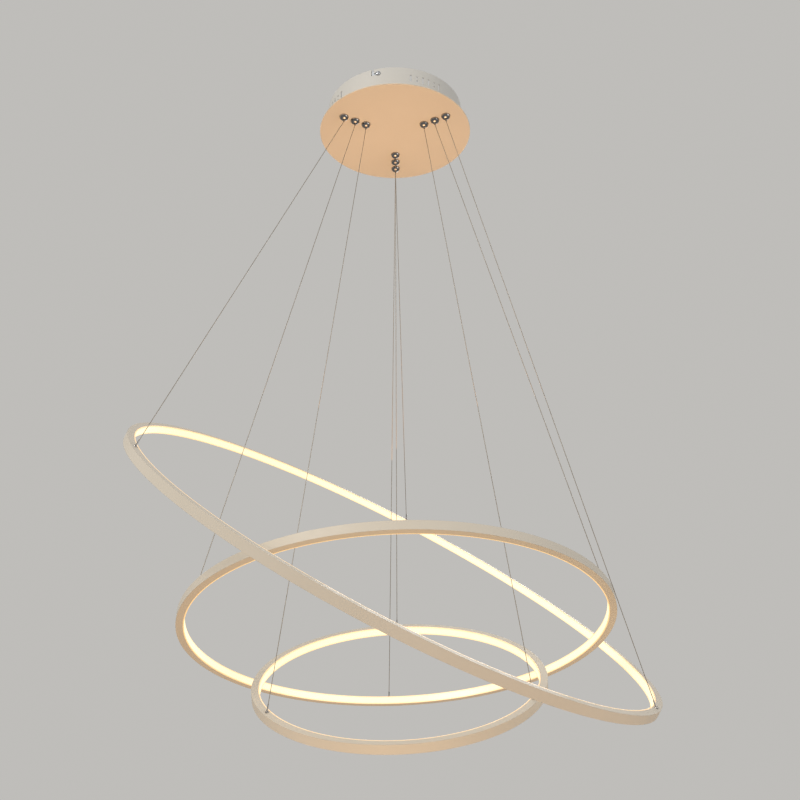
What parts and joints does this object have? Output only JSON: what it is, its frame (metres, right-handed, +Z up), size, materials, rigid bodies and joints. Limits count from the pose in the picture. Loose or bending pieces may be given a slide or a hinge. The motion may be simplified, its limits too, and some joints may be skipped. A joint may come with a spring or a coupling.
{
  "type": "led ring chandelier",
  "caption": "Pendant light: tilted light rings of falling size, each on thin wires held by adjustable grips under a round ceiling canopy.",
  "frame": {"origin": "centre of the two ceiling screw holes, on the bracket's top face where it meets the ceiling", "axes": "+Z up into the ceiling, +X to the right and +Y away from the viewer of the picture; the light hangs at negative Z"},
  "size_m": [0.7156, 0.7604, 1.0269],
  "materials": {
    "white_steel": "smooth matt white powder coat",
    "white_channel": "matt white powder coat",
    "opal_diffuser": "satin opal, lit from behind",
    "light_strip": "matt white strip",
    "grip_chrome": "polished",
    "suspension_wire": "fine stranded steel",
    "spring_steel": "drawn",
    "zinc_fixings": "zinc plated",
    "zinc_bracket": "zinc plated sheet",
    "brass_fixings": "turned",
    "driver_plastic": "fine moulded grain",
    "circuit_board": "green solder mask",
    "terminal_plastic": "plain",
    "supply_insulation": "plain",
    "output_insulation": "plain"
  },
  "bodies": {
    "canopy": {"canopy_plate": "white_steel", "canopy_drum": "white_steel", "flange_nuts": "zinc_fixings", "ceiling_bracket": "zinc_bracket", "drum_screws": "zinc_fixings", "driver_case_large": "driver_plastic", "driver_case_medium": "driver_plastic", "driver_case_small": "driver_plastic", "driver_lids": "driver_plastic", "driver_boards": "circuit_board", "driver_screws": "zinc_fixings", "terminal_block": "terminal_plastic", "earth_nut": "brass_fixings", "supply_leads": "supply_insulation", "output_leads": "output_insulation", "grip_bodies": "grip_chrome", "grip_nuts": "grip_chrome", "wire_tails": "suspension_wire", "grip_spring_large_far": "spring_steel", "grip_spring_large_left": "spring_steel", "grip_spring_large_right": "spring_steel", "grip_spring_medium_far": "spring_steel", "grip_spring_medium_left": "spring_steel", "grip_spring_medium_right": "spring_steel", "grip_spring_small_far": "spring_steel", "grip_spring_small_left": "spring_steel", "grip_spring_small_right": "spring_steel", "wire_large_far": "suspension_wire", "wire_large_left": "suspension_wire", "wire_large_right": "suspension_wire", "wire_medium_far": "suspension_wire", "wire_medium_left": "suspension_wire", "wire_medium_right": "suspension_wire", "wire_small_far": "suspension_wire", "wire_small_left": "suspension_wire", "wire_small_right": "suspension_wire"},
    "large_ring": {"large_ring_channel": "white_channel", "large_light_strip": "light_strip", "large_diffuser": "opal_diffuser", "large_wire_anchors": "grip_chrome", "large_wire_sleeves": "grip_chrome"},
    "medium_ring": {"medium_ring_channel": "white_channel", "medium_light_strip": "light_strip", "medium_diffuser": "opal_diffuser", "medium_wire_anchors": "grip_chrome", "medium_wire_sleeves": "grip_chrome"},
    "small_ring": {"small_ring_channel": "white_channel", "small_light_strip": "light_strip", "small_diffuser": "opal_diffuser", "small_wire_anchors": "grip_chrome", "small_wire_sleeves": "grip_chrome"},
    "plunger_large_far": {"grip_plunger_large_far": "grip_chrome"},
    "plunger_large_left": {"grip_plunger_large_left": "grip_chrome"},
    "plunger_large_right": {"grip_plunger_large_right": "grip_chrome"},
    "plunger_medium_far": {"grip_plunger_medium_far": "grip_chrome"},
    "plunger_medium_left": {"grip_plunger_medium_left": "grip_chrome"},
    "plunger_medium_right": {"grip_plunger_medium_right": "grip_chrome"},
    "plunger_small_far": {"grip_plunger_small_far": "grip_chrome"},
    "plunger_small_left": {"grip_plunger_small_left": "grip_chrome"},
    "plunger_small_right": {"grip_plunger_small_right": "grip_chrome"}
  },
  "joints": [
    {"name": "large_ring_lift", "type": "slide", "parent": "canopy", "child": "large_ring", "axis": [0, 0, 1], "range_m": [0, 0.3], "deforming": ["wire_large_far", "wire_large_left", "wire_large_right"]},
    {"name": "medium_ring_lift", "type": "slide", "parent": "canopy", "child": "medium_ring", "axis": [0, 0, 1], "range_m": [0, 0.24], "deforming": ["wire_medium_far", "wire_medium_left", "wire_medium_right"]},
    {"name": "small_ring_lift", "type": "slide", "parent": "canopy", "child": "small_ring", "axis": [0, 0, 1], "range_m": [0, 0.25], "deforming": ["wire_small_far", "wire_small_left", "wire_small_right"]},
    {"name": "plunger_large_far_press", "type": "slide", "parent": "canopy", "child": "plunger_large_far", "axis": [0, 0, 1], "range_m": [0, 0.002], "stiffness_N_per_m": 200, "springref_m": -0.003, "deforming": ["grip_spring_large_far"]},
    {"name": "plunger_large_left_press", "type": "slide", "parent": "canopy", "child": "plunger_large_left", "axis": [0, 0, 1], "range_m": [0, 0.002], "stiffness_N_per_m": 200, "springref_m": -0.003, "deforming": ["grip_spring_large_left"]},
    {"name": "plunger_large_right_press", "type": "slide", "parent": "canopy", "child": "plunger_large_right", "axis": [0, 0, 1], "range_m": [0, 0.002], "stiffness_N_per_m": 200, "springref_m": -0.003, "deforming": ["grip_spring_large_right"]},
    {"name": "plunger_medium_far_press", "type": "slide", "parent": "canopy", "child": "plunger_medium_far", "axis": [0, 0, 1], "range_m": [0, 0.002], "stiffness_N_per_m": 200, "springref_m": -0.003, "deforming": ["grip_spring_medium_far"]},
    {"name": "plunger_medium_left_press", "type": "slide", "parent": "canopy", "child": "plunger_medium_left", "axis": [0, 0, 1], "range_m": [0, 0.002], "stiffness_N_per_m": 200, "springref_m": -0.003, "deforming": ["grip_spring_medium_left"]},
    {"name": "plunger_medium_right_press", "type": "slide", "parent": "canopy", "child": "plunger_medium_right", "axis": [0, 0, 1], "range_m": [0, 0.002], "stiffness_N_per_m": 200, "springref_m": -0.003, "deforming": ["grip_spring_medium_right"]},
    {"name": "plunger_small_far_press", "type": "slide", "parent": "canopy", "child": "plunger_small_far", "axis": [0, 0, 1], "range_m": [0, 0.002], "stiffness_N_per_m": 200, "springref_m": -0.003, "deforming": ["grip_spring_small_far"]},
    {"name": "plunger_small_left_press", "type": "slide", "parent": "canopy", "child": "plunger_small_left", "axis": [0, 0, 1], "range_m": [0, 0.002], "stiffness_N_per_m": 200, "springref_m": -0.003, "deforming": ["grip_spring_small_left"]},
    {"name": "plunger_small_right_press", "type": "slide", "parent": "canopy", "child": "plunger_small_right", "axis": [0, 0, 1], "range_m": [0, 0.002], "stiffness_N_per_m": 200, "springref_m": -0.003, "deforming": ["grip_spring_small_right"]}
  ],
  "couplings": [
    {"joint": "medium_ring_lift", "follows": "large_ring_lift", "ratio": 0.8}
  ]
}
